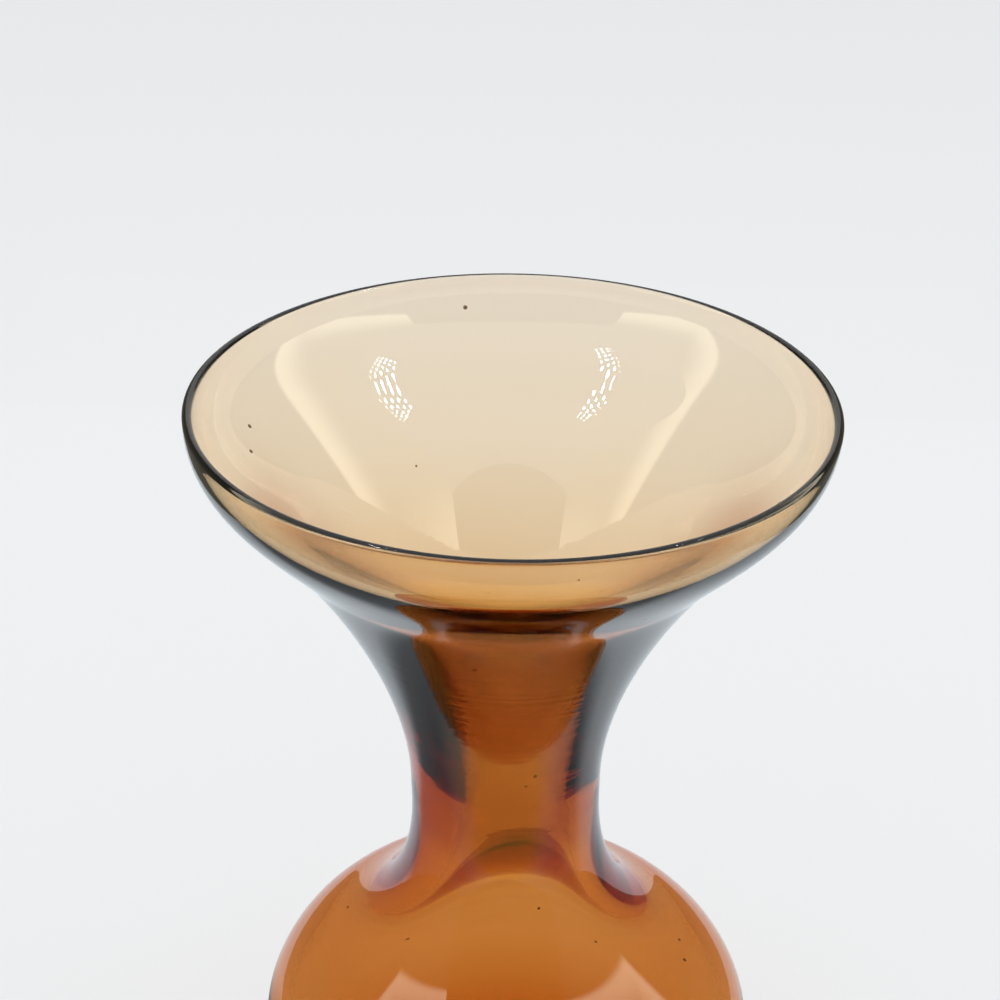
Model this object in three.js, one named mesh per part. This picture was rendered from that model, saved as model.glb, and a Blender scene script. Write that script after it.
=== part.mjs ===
// A blown glass vase with a flared mouth, a narrow neck and a round body, in one piece of glass.
// Millimetres, +Z up. The origin is the centre of the foot, on the surface that the vase stands on.
import * as THREE from "three";

// Overall sizes. The mouth and the neck are placed down from the rim, the body up from the table.
const height = 157;
const mouthRadius = 48;
const flareRadius = 35.0; // where the wall of the mouth leans out most
const flareDrop = 20.6;
const flareLean = 42.7; // degrees from upright
const neckRadius = 15.35;
const neckDrop = 67.7;
const shoulderRadius = 31.0; // where the wall of the shoulder leans in most
const shoulderHeight = 56.0;
const shoulderLean = 60.4;
const bodyRadius = 41.3;
const bodyHeight = 39.4; // level of the widest part of the body

// Foot: a flat ring with a shallow hollow inside it.
const footRadius = 22.5;
const footLand = 3.5; // width of the flat ring
const hollowDepth = 2.6;

// Glass thickness, square to the outer face. The mouth was spun out thin, and the neck kept its glass.
const rimWall = 1.4;
const flareWall = 2.05;
const neckWall = 6.2;
const shoulderWall = 6.0;
const bodyWall = 4.6;
const baseWall = 7.0;
const throatEase = 1.8; // above 1, the throat thickens late, close to the neck

// How far each curve runs straight before it turns, as a share of the distance between its ends.
const lipPull = [0.33, 0.45];
const throatPull = [0.1, 0.41];
const collarPull = [0.15, 0.55];
const shoulderPull = [0.255, 0.393];
const bowlPull = [0.42, 0.16];
const floorPull = [0.36, 0.46];

// Fineness of the mesh.
const turns = 40;
const stepsPerCurve = 6;
const rimSteps = 4;

// A place on the outline: radius, height, and the lean of the wall on its way down.
// A positive lean goes down and inwards, a negative one goes down and outwards.
const station = (radius, level, lean, wall) => {
  const angle = THREE.MathUtils.degToRad(lean);
  const heading = new THREE.Vector2(-Math.sin(angle), -Math.cos(angle));
  return { at: new THREE.Vector2(radius, level), heading, wall };
};

// The smooth curve from one station down to the next.
const curveBetween = (from, to, [pullFrom, pullTo]) => {
  const chord = from.at.distanceTo(to.at);
  return new THREE.CubicBezierCurve(
    from.at,
    from.at.clone().addScaledVector(from.heading, chord * pullFrom),
    to.at.clone().addScaledVector(to.heading, -chord * pullTo),
    to.at
  );
};

const lip = station(mouthRadius, height - rimWall / 2, 0, rimWall);
const flare = station(flareRadius, height - flareDrop, flareLean, flareWall);
const neck = station(neckRadius, height - neckDrop, 0, neckWall);
const shoulder = station(shoulderRadius, shoulderHeight, -shoulderLean, shoulderWall);
const body = station(bodyRadius, bodyHeight, 0, bodyWall);
const heel = station(footRadius, 0, 90, baseWall);

// The outer face from lip to body, and the inner face beside it at the glass thickness.
const outerWall = [];
const innerWall = [];
const addWall = (from, to, pull, ease = 1) => {
  const curve = curveBetween(from, to, pull);
  for (let i = outerWall.length ? 1 : 0; i <= stepsPerCurve; i++) {
    const share = i / stepsPerCurve;
    const point = curve.getPoint(share);
    const along = curve.getTangent(share);
    const wall = THREE.MathUtils.lerp(from.wall, to.wall, share ** ease);
    outerWall.push(point);
    innerWall.push(new THREE.Vector2(point.x + along.y * wall, point.y - along.x * wall));
  }
};
addWall(lip, flare, lipPull);
addWall(flare, neck, throatPull, throatEase);
addWall(neck, shoulder, collarPull);
addWall(shoulder, body, shoulderPull);

// The rounded rim: half a circle from the outer face over to the inner one.
const rim = [];
for (let i = 1; i < rimSteps; i++) {
  const angle = (Math.PI * i) / rimSteps;
  rim.push(
    new THREE.Vector2(
      mouthRadius - rimWall / 2 + (rimWall / 2) * Math.cos(angle),
      height - rimWall / 2 + (rimWall / 2) * Math.sin(angle)
    )
  );
}

// Under the body: the bowl down to the heel, the flat land of the foot, and the hollow inside it.
const bowl = curveBetween(body, heel, bowlPull).getPoints(stepsPerCurve).slice(1);
const landInner = footRadius - footLand;
const hollow = new THREE.QuadraticBezierCurve(
  new THREE.Vector2(landInner, 0),
  new THREE.Vector2(landInner * 0.6, hollowDepth),
  new THREE.Vector2(0, hollowDepth)
).getPoints(stepsPerCurve);

// Inside the body: from the widest part down to the floor of the vase.
const bodyInside = station(bodyRadius - bodyWall, bodyHeight, 0, bodyWall);
const floorCentre = station(0, hollowDepth + baseWall, 90, baseWall);
const floor = curveBetween(bodyInside, floorCentre, floorPull).getPoints(stepsPerCurve).slice(1);

// One closed outline, from the axis under the foot, up the outside, and down the inside.
const outside = [...outerWall, ...bowl, ...hollow].reverse();
const outline = [...outside, ...rim, ...innerWall, ...floor];
outline[0].x = 0;
outline[outline.length - 1].x = 0;

const glass = new THREE.MeshStandardMaterial({ color: 0xb4702c, roughness: 0.04, metalness: 0 });
glass.transparent = true;
glass.opacity = 0.45;

const vase = new THREE.Mesh(new THREE.LatheGeometry(outline, turns).rotateX(Math.PI / 2), glass);
vase.name = "vase_body";

const part = new THREE.Group();
part.add(vase);
export default part;
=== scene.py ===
import math

import bpy
import numpy as np
from mathutils import Matrix, Vector


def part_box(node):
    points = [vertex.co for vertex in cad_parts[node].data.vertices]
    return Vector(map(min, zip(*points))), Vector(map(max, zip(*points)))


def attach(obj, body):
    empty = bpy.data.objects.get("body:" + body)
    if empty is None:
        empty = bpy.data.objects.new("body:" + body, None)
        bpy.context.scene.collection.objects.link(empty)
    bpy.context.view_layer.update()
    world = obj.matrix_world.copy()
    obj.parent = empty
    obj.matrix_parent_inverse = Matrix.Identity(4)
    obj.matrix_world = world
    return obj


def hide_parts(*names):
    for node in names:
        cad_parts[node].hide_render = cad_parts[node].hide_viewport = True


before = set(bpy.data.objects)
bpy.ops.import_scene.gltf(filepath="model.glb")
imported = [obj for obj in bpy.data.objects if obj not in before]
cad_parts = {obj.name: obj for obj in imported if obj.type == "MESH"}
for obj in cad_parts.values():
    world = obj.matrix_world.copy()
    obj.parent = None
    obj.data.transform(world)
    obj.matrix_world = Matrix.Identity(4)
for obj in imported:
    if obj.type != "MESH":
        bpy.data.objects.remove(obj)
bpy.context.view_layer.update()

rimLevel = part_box("vase_body")[1].z
mm = 0.001


def toLinear(hexColour):
    # sRGB hex to linear RGBA: c/12.92 below 0.04045, else ((c + 0.055)/1.055)^2.4
    channels = [int(hexColour[i:i + 2], 16) / 255 for i in (1, 3, 5)]
    return [c / 12.92 if c <= 0.04045 else ((c + 0.055) / 1.055) ** 2.4 for c in channels] + [1.0]


def addNode(tree, kind, settings):
    # settings: attribute or socket to its value, or to the output that feeds it
    node = tree.nodes.new(kind)
    for name, value in settings.items():
        if isinstance(value, bpy.types.NodeSocket):
            tree.links.new(value, node.inputs[name])
        elif isinstance(name, str) and hasattr(node, name):
            setattr(node, name, value)
        else:
            node.inputs[name].default_value = value
    return node


def newMaterial(name):
    material = bpy.data.materials.new(name)
    material.use_nodes = True
    material.node_tree.nodes.clear()
    return material, material.node_tree


def meshObject(name, points, faces, smooth=False):
    mesh = bpy.data.meshes.new(name)
    mesh.from_pydata([list(p) for p in points], [], [list(f) for f in faces])
    mesh.polygons.foreach_set("use_smooth", np.full(len(mesh.polygons), smooth))
    mesh.update()
    thing = bpy.data.objects.new(name, mesh)
    bpy.context.scene.collection.objects.link(thing)
    return thing


camera = {
    "lens": 72.0,          # on a 36 mm sensor
    "distance": 0.26358,   # in front of the axis of the vase
    "rise": 0.12588,       # above the rim
    "pitch": 28.50,
    "roll": 0.9,
    "aside": -0.00175,
    "clipStart": 0.01,
}


def makeCamera(c):
    data = bpy.data.cameras.new("camera")
    data.lens = c["lens"]
    data.clip_start = c["clipStart"]
    thing = bpy.data.objects.new("camera", data)
    bpy.context.scene.collection.objects.link(thing)
    tilt = Matrix.Rotation(math.radians(90 - c["pitch"]), 4, "X")
    roll = Matrix.Rotation(math.radians(c["roll"]), 4, "Z")
    place = Matrix.Translation((c["aside"], -c["distance"], rimLevel + c["rise"]))
    thing.matrix_world = place @ (tilt @ roll)
    bpy.context.scene.camera = thing


makeCamera(camera)
print("camera made")

# Sizes in mm, leans in degrees. The mouth and neck are placed down from the rim, the body up from the table.
vaseShape = {
    "mouthRadius": 48.0,
    "flare": (35.0, 20.6, 42.7),       # radius, drop, lean
    "neck": (15.35, 67.7),             # radius, drop
    "shoulder": (31.0, 56.0, 60.4),    # radius, level, lean
    "body": (41.3, 39.4),              # radius, level
    "foot": (22.5, 3.5, 2.6),          # radius, width of the land, depth of the hollow
    "hollowShare": 0.6,                # how far out the hollow stays deep
    "walls": (1.4, 2.05, 6.4, 6.0, 4.6, 7.0),  # rim, flare, neck, shoulder, body, base
    "throatEase": 1.8,                 # above 1, the throat thickens late
    # how far each curve runs straight before it turns, as a share of the distance between its ends
    "lipPull": (0.33, 0.45),
    "throatPull": (0.1, 0.41),
    "collarPull": (0.15, 0.55),
    "shoulderPull": (0.255, 0.393),
    "bowlPull": (0.42, 0.16),
    "floorPull": (0.36, 0.46),
    "boreShift": 0.9,                  # the bore sits a little to the right of the axis at the neck
    "boreLevel": (92.0, 26.0),         # where it is most off, and over what height that fades
    "outOfRound": 0.10,
    "thirdLobe": 0.6,                  # the three-lobed share, against 1 for the two-lobed one
    "lobeStart": 0.7,                  # radians, where the two lobes point at the foot
    "lobeTurn": (60.0, 45.0),          # height over which the two-lobed and three-lobed shape turns a radian
    "lobeFade": (40.0, 20.0),          # they fade out below this level and inside this radius
    "wander": ((0, 50, 95, 157), (0.6, 0.55, -0.25, 0.0)),   # levels, and how far right the axis is there
    "turns": 256,
    "steps": 28,
}


def station(radius, level, lean):
    # a place on the outline, and the way the wall heads on its way down
    a = math.radians(lean)
    return np.array([radius, level]), np.array([-math.sin(a), -math.cos(a)])


def curveBetween(start, end, pulls, steps):
    # cubic Bezier from one station down to the next; each handle is a share of the chord
    (p, u), (q, v) = start, end
    chord = np.linalg.norm(q - p)
    h = p + u * chord * pulls[0]
    k = q - v * chord * pulls[1]
    t = np.linspace(0, 1, steps + 1)[:, None]
    points = (1 - t) ** 3 * p + 3 * (1 - t) ** 2 * t * h + 3 * (1 - t) * t * t * k + t ** 3 * q
    slopes = 3 * (1 - t) ** 2 * (h - p) + 6 * (1 - t) * t * (k - h) + 3 * t * t * (q - k)
    return points, slopes / np.linalg.norm(slopes, axis=1)[:, None]


def glassOutline(s):
    # the closed outline from the axis under the foot, up the outside, over the rim and down the inside
    top, n = rimLevel / mm, s["steps"]
    rimWall, flareWall, neckWall, shoulderWall, bodyWall, baseWall = s["walls"]
    lip = station(s["mouthRadius"], top - rimWall / 2, 0)
    flare = station(s["flare"][0], top - s["flare"][1], s["flare"][2])
    neck = station(s["neck"][0], top - s["neck"][1], 0)
    shoulder = station(s["shoulder"][0], s["shoulder"][1], -s["shoulder"][2])
    body = station(*s["body"], 0)
    heel = station(s["foot"][0], 0, 90)

    # from lip to body: the outer face, and the inner face beside it at the glass thickness
    outer, inner = [], []
    for start, end, pulls, wallFrom, wallTo, ease in (
        (lip, flare, s["lipPull"], rimWall, flareWall, 1),
        (flare, neck, s["throatPull"], flareWall, neckWall, s["throatEase"]),
        (neck, shoulder, s["collarPull"], neckWall, shoulderWall, 1),
        (shoulder, body, s["shoulderPull"], shoulderWall, bodyWall, 1),
    ):
        points, slopes = curveBetween(start, end, pulls, n)
        wall = wallFrom + (wallTo - wallFrom) * np.linspace(0, 1, n + 1)[:, None] ** ease
        keep = slice(1 if outer else 0, None)
        outer.append(points[keep])
        inner.append((points + np.c_[slopes[:, 1], -slopes[:, 0]] * wall)[keep])

    # the rounded rim, half a circle
    a = np.linspace(0, math.pi, n // 2)[1:-1]
    half = rimWall / 2
    rim = np.c_[s["mouthRadius"] - half + half * np.cos(a), top - half + half * np.sin(a)]

    # the bowl down to the heel, and a quadratic curve for the hollow inside the foot
    bowl = curveBetween(body, heel, s["bowlPull"], n)[0][1:]
    radius, land, hollow = s["foot"]
    t = np.linspace(0, 1, n // 2)[:, None]
    edge = radius - land
    p, k, q = np.array([edge, 0]), np.array([edge * s["hollowShare"], hollow]), np.array([0, hollow])
    under = (1 - t) ** 2 * p + 2 * (1 - t) * t * k + t * t * q

    inside = station(s["body"][0] - bodyWall, s["body"][1], 0)
    floorCentre = station(0, hollow + baseWall, 90)
    floor = curveBetween(inside, floorCentre, s["floorPull"], n)[0][1:]
    outside = np.vstack([*outer, bowl, under])[::-1]
    return np.vstack([outside, rim, *inner, floor]), len(outside) + len(rim) // 2


def makeVase(s):
    # ring point (i, j) = (r_i cos a_j, r_i sin a_j, z_i); both ends of the outline are single points on the axis
    outline, firstInside = glassOutline(s)
    turns, rows = s["turns"], len(outline) - 2
    a = np.arange(turns) * 2 * math.pi / turns
    r, z = outline[1:-1, 0][:, None], outline[1:-1, 1][:, None]

    # out of round: r + depth (cos(2a + z/turn + start) + share cos(3a - z/turn)), fading out at foot and axis
    two = np.cos(2 * a + z / s["lobeTurn"][0] + s["lobeStart"])
    lobes = two + s["thirdLobe"] * np.cos(3 * a - z / s["lobeTurn"][1])
    level, radius = s["lobeFade"]
    r = r + s["outOfRound"] * lobes * np.clip(z / level, 0, 1) * np.clip(r / radius, 0, 1)

    # the bore is off by a bell curve of height; the axis wanders by a cubic through the given offsets
    level, reach = s["boreLevel"]
    off = np.exp(-((z - level) / reach) ** 2) * (np.arange(1, rows + 1)[:, None] > firstInside)
    wander = np.polyval(np.polyfit(*s["wander"], 3), z)
    x = r * np.cos(a) + off * s["boreShift"] + wander
    points = np.stack([x, r * np.sin(a), np.repeat(z, turns, 1)], -1).reshape(-1, 3)
    ends = [[wander[0, 0], 0, outline[0, 1]], [wander[-1, 0], 0, outline[-1, 1]]]
    points = np.vstack([points, ends])

    i, j = np.meshgrid(np.arange(rows - 1), np.arange(turns), indexing="ij")
    k = (j + 1) % turns
    rings = np.stack([i * turns + j, i * turns + k, (i + 1) * turns + k, (i + 1) * turns + j], -1).reshape(-1, 4)
    j, k = j[0], k[0]
    first = np.stack([np.full(turns, rows * turns), k, j], -1)
    last = np.stack([np.full(turns, rows * turns + 1), (rows - 1) * turns + j, (rows - 1) * turns + k], -1)
    faces = rings.tolist() + first.tolist() + last.tolist()
    return meshObject("amber_glass_vase", points * mm, faces, True)


# Amber soda-lime glass, blown and fire-polished: clear right through, deeper brown where it is thick.
amberGlass = {
    "ior": 1.52,
    "roughness": 0.0,
    "absorptionColour": "#f1c63f",
    "absorptionDensity": 285.0,           # per metre
    "paintedShadeTint": "#cea695",                    # painted shade: a brown tint on the front of the neck that darkens the light seen through it
    "paintedShadeLevels": (146.0, 137.0, 86.0, 80.0),
    "paintedShadeSpread": 15.0,
    "ringLevels": (132.0, 122.0, 92.0, 82.0),   # where the jacks pinched the neck in
    "ringPitch": 1.1,
    "ringStretch": 0.03,                  # rings per mm round the neck, so each runs a long way
    "ringDepth": 0.014,
    "wavePitch": 20.0,
    "waveDepth": 0.008,
    "speckColour": "#453021",
    "speckPitch": 9.0,                    # drawn coarser than real grains, so that they show
    "speckRadius": 0.36,
    "speckShare": 0.6,
}


def levelBand(tree, height, levels):
    # 0 above the first level, 1 between the middle two, 0 below the last; levels in mm
    top, high, low, bottom = (v * mm for v in levels)
    down, up = (addNode(tree, "ShaderNodeMapRange", {
        "interpolation_type": "SMOOTHSTEP", "Value": height, "From Min": start, "From Max": end,
    }).outputs["Result"] for start, end in ((top, high), (bottom, low)))
    return addNode(tree, "ShaderNodeMath", {"operation": "MULTIPLY", 0: down, 1: up}).outputs[0]


def surfaceRelief(tree, place, height, s):
    # rings left by the jacks: long streaks round the neck, about a millimetre apart
    across = s["ringStretch"] / mm
    squash = addNode(tree, "ShaderNodeVectorMath", {
        "operation": "MULTIPLY", 0: place, 1: (across, across, 1 / (s["ringPitch"] * mm))})
    rings = addNode(tree, "ShaderNodeTexNoise", {"Scale": 1.0, "Detail": 2.0, "Vector": squash.outputs[0]})
    ringHeight = addNode(tree, "ShaderNodeMath", {
        "operation": "MULTIPLY", 0: rings.outputs[0], 1: s["ringDepth"] * mm})
    ringHeight = addNode(tree, "ShaderNodeMath", {
        "operation": "MULTIPLY", 0: ringHeight.outputs[0], 1: levelBand(tree, height, s["ringLevels"])})
    # slow waves in the blown skin
    waves = addNode(tree, "ShaderNodeTexNoise", {
        "Scale": 1 / (s["wavePitch"] * mm), "Detail": 1.0, "Vector": place})
    total = addNode(tree, "ShaderNodeMath", {
        "operation": "MULTIPLY_ADD", 0: waves.outputs[0], 1: s["waveDepth"] * mm, 2: ringHeight.outputs[0]})
    relief = addNode(tree, "ShaderNodeBump", {"Strength": 1.0, "Distance": 1.0, "Height": total.outputs[0]})
    return relief.outputs["Normal"]


def speckMask(tree, place, s):
    # dark grains caught at the surface, one in a share of the cells
    cells = addNode(tree, "ShaderNodeTexVoronoi", {"Scale": 1 / (s["speckPitch"] * mm), "Vector": place})
    chance = addNode(tree, "ShaderNodeSeparateColor", {"Color": cells.outputs["Color"]})
    chosen = addNode(tree, "ShaderNodeMath", {
        "operation": "LESS_THAN", 0: chance.outputs["Red"], 1: s["speckShare"]})
    grain = addNode(tree, "ShaderNodeMath", {
        "operation": "LESS_THAN", 0: cells.outputs["Distance"], 1: s["speckRadius"] / s["speckPitch"]})
    return addNode(tree, "ShaderNodeMath", {
        "operation": "MULTIPLY", 0: grain.outputs[0], 1: chosen.outputs[0]}).outputs[0]


def amberGlassMaterial(s):
    material, tree = newMaterial("amber_glass")
    place = addNode(tree, "ShaderNodeTexCoord", {}).outputs["Object"]
    parts = addNode(tree, "ShaderNodeSeparateXYZ", {"Vector": place})
    height = parts.outputs["Z"]

    # painted shade on the neck, tinted brown: full at the front, none at the back
    spread = s["paintedShadeSpread"] * mm
    front = addNode(tree, "ShaderNodeMapRange", {
        "interpolation_type": "SMOOTHSTEP", "Value": parts.outputs["Y"], "From Min": spread, "From Max": -spread})
    paintedShade = addNode(tree, "ShaderNodeMath", {
        "operation": "MULTIPLY", 0: front.outputs["Result"], 1: levelBand(tree, height, s["paintedShadeLevels"])})
    paintedShadeTint = addNode(tree, "ShaderNodeMix", {
        "data_type": "RGBA", "Factor": paintedShade.outputs[0], 6: toLinear("#ffffff"), 7: toLinear(s["paintedShadeTint"])})
    tint = addNode(tree, "ShaderNodeMix", {
        "data_type": "RGBA", "Factor": speckMask(tree, place, s),
        6: paintedShadeTint.outputs[2], 7: toLinear(s["speckColour"])})

    shader = addNode(tree, "ShaderNodeBsdfPrincipled", {
        "Base Color": tint.outputs[2], "Normal": surfaceRelief(tree, place, height, s),
        "Roughness": s["roughness"], "IOR": s["ior"], "Transmission Weight": 1.0})
    inside = addNode(tree, "ShaderNodeVolumeAbsorption", {
        "Color": toLinear(s["absorptionColour"]), "Density": s["absorptionDensity"]})
    addNode(tree, "ShaderNodeOutputMaterial", {
        "Surface": shader.outputs["BSDF"], "Volume": inside.outputs["Volume"]})
    return material


vase = makeVase(vaseShape)
vase.data.materials.append(amberGlassMaterial(amberGlass))
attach(vase, "root")
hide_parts("vase_body")
print("vase made")

# A sheet of white paper that rises gently behind the vase, and a soft light. Sizes in metres.
studio = {
    "paper": "#f0f2f4",
    "paperReach": 4.0,
    "sweep": (0.25, 1.6, 0.09),     # where the paper starts to rise, its far end, and how fast it rises
    "sweepSteps": 60,
    "paperRoughness": 0.9,
    "paperSheen": 0.1,
    "world": "#f7f7f6",
    "worldStrength": 0.42,
    "backdrop": "#edeff0",          # what the eye sees of the room, in line with the paper
    "lampFrom": (0.0, 1.0, 1.0),
    "lampStrength": 2.6,
    "lampSpread": 40.0,             # degrees across
    "lampColour": "#ffffff",
    "glassBounces": 32,             # light goes through four faces and is trapped in the thick glass
    "mirrorBounces": 16,
}


def makePaper(s):
    start, end, rise = s["sweep"]
    reach = s["paperReach"]
    y = np.concatenate([[-reach], np.linspace(start, end, s["sweepSteps"])])
    z = rise * (y.clip(start) - start) ** 2
    points = [[x, b, c] for b, c in zip(y, z) for x in (-reach, reach)]
    faces = [[2 * i, 2 * i + 1, 2 * i + 3, 2 * i + 2] for i in range(len(y) - 1)]
    paper = meshObject("floor", points, faces, True)
    # uncoated white paper: matt, with hardly any sheen
    material, tree = newMaterial("white_paper")
    shader = addNode(tree, "ShaderNodeBsdfPrincipled", {
        "Base Color": toLinear(s["paper"]), "Roughness": s["paperRoughness"],
        "Specular IOR Level": s["paperSheen"]})
    addNode(tree, "ShaderNodeOutputMaterial", {"Surface": shader.outputs["BSDF"]})
    paper.data.materials.append(material)


def makeLight(s):
    # a soft light from above and behind throws the vase's amber shadow forwards
    data = bpy.data.lights.new("lamp", "SUN")
    data.energy = s["lampStrength"]
    data.angle = math.radians(s["lampSpread"])
    data.color = toLinear(s["lampColour"])[:3]
    lamp = bpy.data.objects.new("lamp", data)
    bpy.context.scene.collection.objects.link(lamp)
    lamp.matrix_world = Vector(s["lampFrom"]).to_track_quat("Z", "Y").to_matrix().to_4x4()
    lamp.visible_glossy = False


def makeWorld(s):
    # the room lights the scene weakly, and shows as pale as the paper
    scene = bpy.context.scene
    scene.world = bpy.data.worlds.new("soft_room")
    scene.world.use_nodes = True
    tree = scene.world.node_tree
    tree.nodes.clear()
    light = addNode(tree, "ShaderNodeBackground", {"Color": toLinear(s["world"]), "Strength": s["worldStrength"]})
    backdrop = addNode(tree, "ShaderNodeBackground", {"Color": toLinear(s["backdrop"])})
    ray = addNode(tree, "ShaderNodeLightPath", {})
    seen = addNode(tree, "ShaderNodeMath", {
        "operation": "MAXIMUM", 0: ray.outputs["Is Camera Ray"], 1: ray.outputs["Is Transmission Ray"]})
    both = addNode(tree, "ShaderNodeMixShader", {
        0: seen.outputs[0], 1: light.outputs["Background"], 2: backdrop.outputs["Background"]})
    addNode(tree, "ShaderNodeOutputWorld", {"Surface": both.outputs["Shader"]})
    scene.view_settings.view_transform = "Standard"
    scene.cycles.max_bounces = s["glassBounces"]
    scene.cycles.transmission_bounces = s["glassBounces"]
    scene.cycles.glossy_bounces = s["mirrorBounces"]


# The light tent round the vase, which only reflections see. Sizes in metres, glows as radiance.
lightTent = {
    "halfWidth": 0.172,
    "front": -0.165,
    "back": 0.42,
    "height": 0.34,
    "lift": 0.001,         # the upright cards stand this far above the paper
    "floorLift": 0.0004,
    "boardDrop": 0.002,    # the lamp boards hang this far under the ceiling
    "sideLow": 0.22,       # the side walls near the floor
    "sideHigh": 4.0,       # and in the field that the lamps reach
    "leftEdge": (-0.026, 0.128, 1.9, 0.6),    # where that field is lowest, and its rise to the back and the front
    "rightEdge": (0.014, 0.101, 1.7, 0.8),
    "sideColour": "#fff6dc",
    "edgeWidth": 0.022,
    "fadeWidth": 0.13,
    "ceiling": 0.9,
    "opening": 0.05,
    "rear": 0.85,
    "floorWhite": "#e4ecf2",
    "floorAmber": "#ffcc60",          # light that has come down through the vase
    "amberGlow": 1.5,
    "amberSpot": (0.0, -0.10, 0.0),
    "amberReach": (0.055, 0.13),
    "shade": 0.34,                    # the floor beside the vase and in front of it
    "shadeEdge": (0.02, 0.06, 0.25),  # where the shade starts to fade and ends, and its slant to the right
    "boards": ((-0.092, -0.035, 0.019, 0.038), (0.126, 0.0, 0.026, 0.05)),   # centre, width and depth
    "dotPitch": 0.0062,
    "dotRadius": 0.0014,
    "dotGlow": 40.0,
}


def glowCard(name, corners, paint, through=False):
    # paint(tree) returns what sets the card's strength and colour
    card = meshObject(name, corners, [[0, 1, 2, 3]])
    material, tree = newMaterial(name)
    glow = addNode(tree, "ShaderNodeEmission", paint(tree))
    addNode(tree, "ShaderNodeOutputMaterial", {"Surface": glow.outputs["Emission"]})
    card.data.materials.append(material)
    card.visible_camera = False
    card.visible_diffuse = False
    card.visible_transmission = through
    card.visible_shadow = False


def plainGlow(strength):
    return lambda tree: {"Strength": strength}


def sideGlow(t, centre, lowest, toBack, toFront):
    # a bright field above a slanting edge that is lowest beside the vase, fading up towards the ceiling
    def paint(tree):
        parts = addNode(tree, "ShaderNodeSeparateXYZ", {
            "Vector": addNode(tree, "ShaderNodeTexCoord", {}).outputs["Object"]})
        along = addNode(tree, "ShaderNodeMath", {"operation": "SUBTRACT", 0: parts.outputs["Y"], 1: centre})
        behind, ahead = (addNode(tree, "ShaderNodeMath", {
            "operation": "MULTIPLY", 0: along.outputs[0], 1: slope}).outputs[0] for slope in (toBack, -toFront))
        edge = addNode(tree, "ShaderNodeMath", {"operation": "MAXIMUM", 0: behind, 1: ahead})
        over = addNode(tree, "ShaderNodeMath", {
            "operation": "SUBTRACT", 0: parts.outputs["Z"], 1: edge.outputs[0]})
        full = lowest + t["edgeWidth"]
        rise = addNode(tree, "ShaderNodeMapRange", {
            "interpolation_type": "SMOOTHSTEP", "Value": over.outputs[0], "From Min": lowest, "From Max": full,
            "To Min": t["sideLow"], "To Max": t["sideHigh"]})
        fade = addNode(tree, "ShaderNodeMapRange", {
            "interpolation_type": "SMOOTHSTEP", "Value": over.outputs[0],
            "From Min": full, "From Max": lowest + t["fadeWidth"],
            "To Min": 1.0, "To Max": t["ceiling"] / t["sideHigh"]})
        strength = addNode(tree, "ShaderNodeMath", {
            "operation": "MULTIPLY", 0: rise.outputs["Result"], 1: fade.outputs["Result"]})
        return {"Strength": strength.outputs[0], "Color": toLinear(t["sideColour"])}
    return paint


def dotGlow(t):
    # a square grid of small lamps: bright within dotRadius of the middle of each cell
    def paint(tree):
        pitch = t["dotPitch"]
        place = addNode(tree, "ShaderNodeTexCoord", {}).outputs["Object"]
        cell = addNode(tree, "ShaderNodeVectorMath", {"operation": "SNAP", 0: place, 1: (pitch,) * 3})
        inCell = addNode(tree, "ShaderNodeVectorMath", {"operation": "SUBTRACT", 0: place, 1: cell.outputs[0]})
        fromMiddle = addNode(tree, "ShaderNodeVectorMath", {
            "operation": "SUBTRACT", 0: inCell.outputs[0], 1: (pitch / 2, pitch / 2, 0.0)})
        level = addNode(tree, "ShaderNodeVectorMath", {
            "operation": "MULTIPLY", 0: fromMiddle.outputs[0], 1: (1.0, 1.0, 0.0)})
        distance = addNode(tree, "ShaderNodeVectorMath", {"operation": "LENGTH", 0: level.outputs[0]})
        lit = addNode(tree, "ShaderNodeMath", {
            "operation": "LESS_THAN", 0: distance.outputs["Value"], 1: t["dotRadius"]})
        strength = addNode(tree, "ShaderNodeMath", {
            "operation": "MULTIPLY_ADD", 0: lit.outputs[0], 1: t["dotGlow"], 2: t["ceiling"]})
        return {"Strength": strength.outputs[0]}
    return paint


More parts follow.
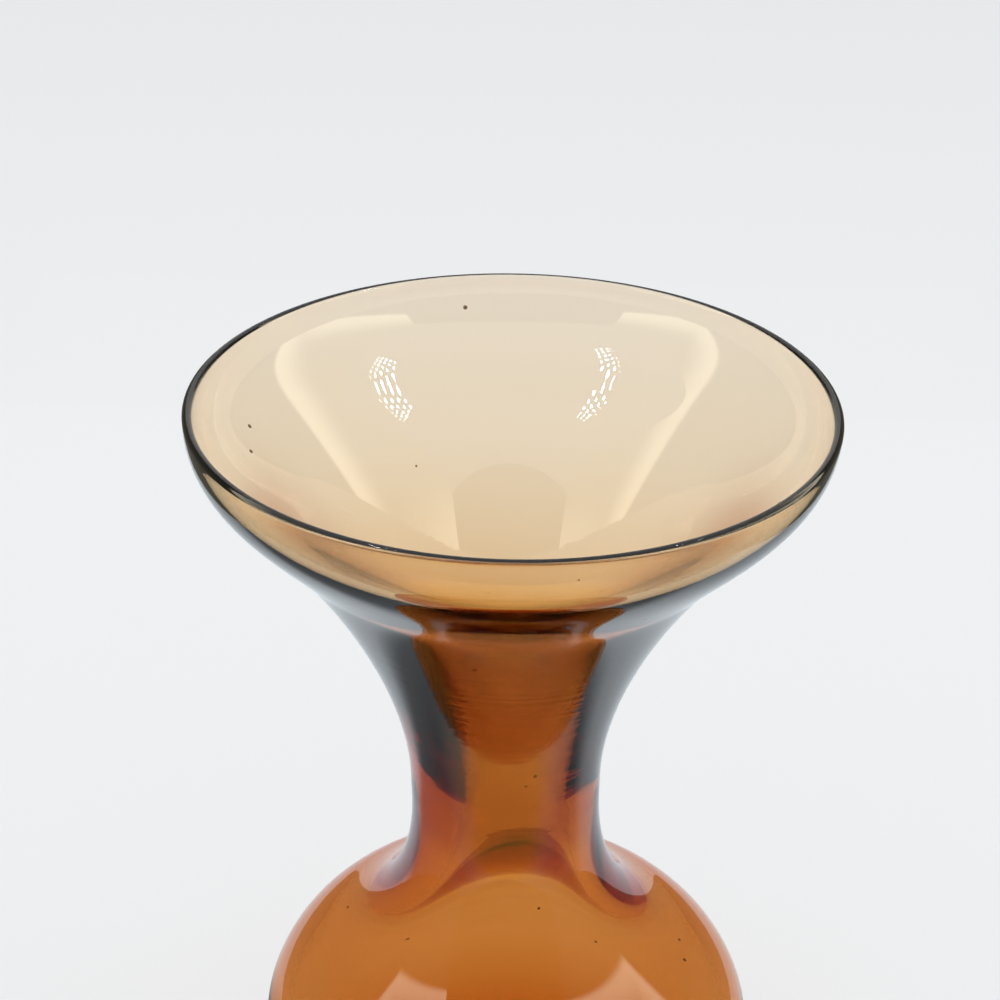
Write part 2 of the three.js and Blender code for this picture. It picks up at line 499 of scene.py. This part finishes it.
def floorGlow(t):
    # amber in front of the vase, white behind it, and shaded beside it up to a slanting edge
    def paint(tree):
        place = addNode(tree, "ShaderNodeTexCoord", {}).outputs["Object"]
        away = addNode(tree, "ShaderNodeVectorMath", {"operation": "DISTANCE", 0: place, 1: t["amberSpot"]})
        share = addNode(tree, "ShaderNodeMapRange", {
            "interpolation_type": "SMOOTHSTEP", "Value": away.outputs["Value"],
            "From Min": t["amberReach"][1], "From Max": t["amberReach"][0]})
        colour = addNode(tree, "ShaderNodeMix", {
            "data_type": "RGBA", "Factor": share.outputs["Result"],
            6: toLinear(t["floorWhite"]), 7: toLinear(t["floorAmber"])})
        start, end, slant = t["shadeEdge"]
        along = addNode(tree, "ShaderNodeVectorMath", {"operation": "DOT_PRODUCT", 0: place, 1: (slant, 1.0, 0.0)})
        shade = addNode(tree, "ShaderNodeMapRange", {
            "interpolation_type": "SMOOTHSTEP", "Value": along.outputs["Value"],
            "From Min": start, "From Max": end, "To Min": t["shade"], "To Max": 1.0})
        strength = addNode(tree, "ShaderNodeMapRange", {
            "Value": share.outputs["Result"], "To Min": shade.outputs["Result"], "To Max": t["amberGlow"]})
        return {"Strength": strength.outputs["Result"], "Color": colour.outputs[2]}
    return paint


def makeTent(t):
    w, f, b, h = t["halfWidth"], t["front"], t["back"], t["height"]

    def level(x0, x1, y0, y1, z):
        return [(x0, y0, z), (x1, y0, z), (x1, y1, z), (x0, y1, z)]

    def across(y):
        return [(-w, y, t["lift"]), (w, y, t["lift"]), (w, y, h), (-w, y, h)]

    for x, edge in ((-w, t["leftEdge"]), (w, t["rightEdge"])):
        glowCard("tent_side", [(x, f, 0), (x, b, 0), (x, b, h), (x, f, h)], sideGlow(t, *edge))
    glowCard("tent_ceiling", level(-w, w, f, b, h), plainGlow(t["ceiling"]))
    glowCard("tent_opening", across(f), plainGlow(t["opening"]))
    glowCard("tent_floor", level(-w, w, f, b, t["floorLift"]), floorGlow(t))
    for x, y, wide, deep in t["boards"]:
        board = level(x - wide / 2, x + wide / 2, y - deep / 2, y + deep / 2, h - t["boardDrop"])
        glowCard("lamp_board", board, dotGlow(t))
    glowCard("tent_rear", across(b), plainGlow(t["rear"]), through=True)


makePaper(studio)
makeLight(studio)
makeWorld(studio)
makeTent(lightTent)
print("studio made")
